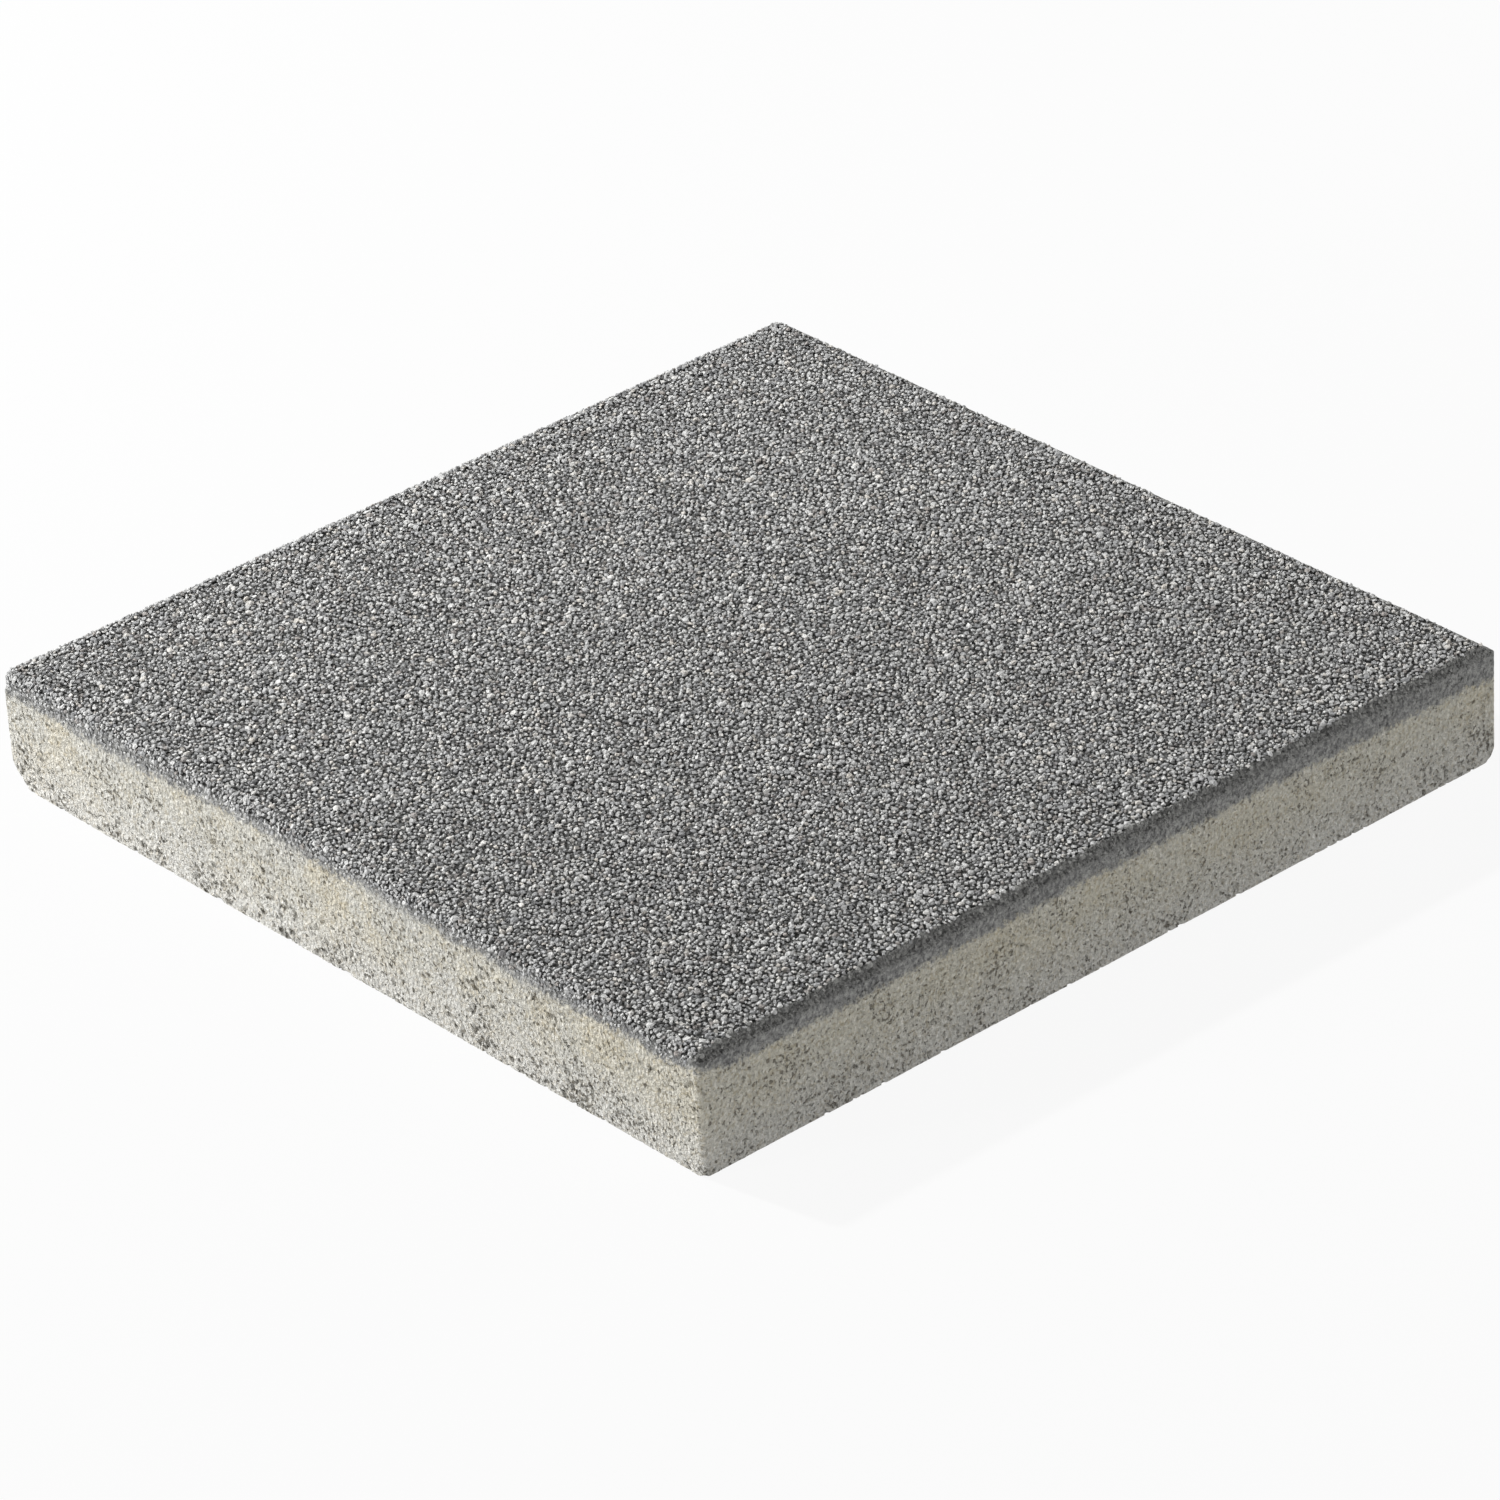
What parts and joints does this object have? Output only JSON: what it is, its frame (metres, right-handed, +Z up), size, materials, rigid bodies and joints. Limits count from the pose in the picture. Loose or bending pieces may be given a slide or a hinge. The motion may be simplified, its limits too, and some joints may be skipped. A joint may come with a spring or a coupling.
{
  "type": "concrete paving slab",
  "caption": "Square concrete paving slab for a path or patio: a dark facing of exposed fine chippings with a bevelled edge, cast on a pale, sandy backing concrete.",
  "frame": {"origin": "middle of the bed face, the flat underside of the slab", "axes": "+Z up through the walking face, +X and +Y along the sides"},
  "size_m": [0.4, 0.4, 0.05],
  "materials": {
    "facing_concrete": "exposed fine chippings, matt",
    "backing_concrete": "sandy as cast from the mould, matt"
  },
  "bodies": {
    "root": {"backing_layer": "backing_concrete", "facing_layer": "facing_concrete"}
  },
  "joints": []
}
